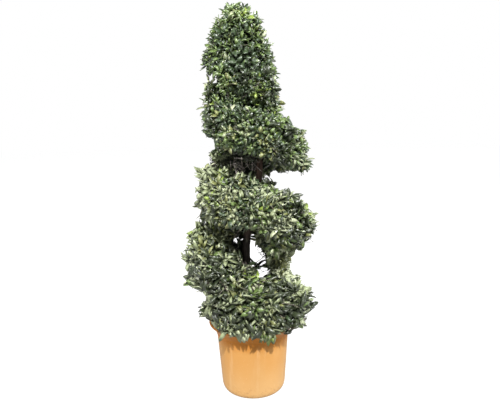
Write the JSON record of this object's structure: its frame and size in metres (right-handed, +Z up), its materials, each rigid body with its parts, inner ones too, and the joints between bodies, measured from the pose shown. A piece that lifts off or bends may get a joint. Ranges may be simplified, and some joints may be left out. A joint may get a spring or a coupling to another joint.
{
  "type": "potted spiral topiary",
  "caption": "Evergreen shrub on a single stem, clipped into a descending spiral of foliage below a pointed crown, growing in a round pot with a flared rim.",
  "frame": {"origin": "centre of the pot's flat underside", "axes": "+Z up along the stem, -Y towards the front, +X to the right seen from the front"},
  "size_m": [0.5659, 0.5405, 1.604],
  "materials": {
    "pot": "matte",
    "soil": "rough",
    "bark": "rough",
    "leaf": "satin"
  },
  "bodies": {
    "root": {"pot": "pot", "soil": "soil", "trunk": "bark", "foliage_crown": "leaf", "bough_turn_1_front": "bark", "foliage_turn_1_front": "leaf", "bough_turn_1_right": "bark", "foliage_turn_1_right": "leaf", "bough_turn_1_back": "bark", "foliage_turn_1_back": "leaf", "bough_turn_2_left": "bark", "foliage_turn_2_left": "leaf", "bough_turn_2_front": "bark", "foliage_turn_2_front": "leaf", "bough_turn_2_right": "bark", "foliage_turn_2_right": "leaf", "bough_turn_2_back": "bark", "foliage_turn_2_back": "leaf", "bough_turn_3_left": "bark", "foliage_turn_3_left": "leaf", "bough_turn_3_front": "bark", "foliage_turn_3_front": "leaf", "bough_turn_3_right": "bark", "foliage_turn_3_right": "leaf", "bough_turn_3_back": "bark", "foliage_turn_3_back": "leaf", "bough_turn_4_left": "bark", "foliage_turn_4_left": "leaf", "bough_turn_4_front": "bark", "foliage_turn_4_front": "leaf", "bough_turn_4_right": "bark", "foliage_turn_4_right": "leaf", "bough_turn_4_back": "bark", "foliage_turn_4_back": "leaf", "bough_turn_5_left": "bark", "foliage_turn_5_left": "leaf", "bough_tuft_right": "bark", "foliage_tuft_right": "leaf"}
  },
  "joints": []
}
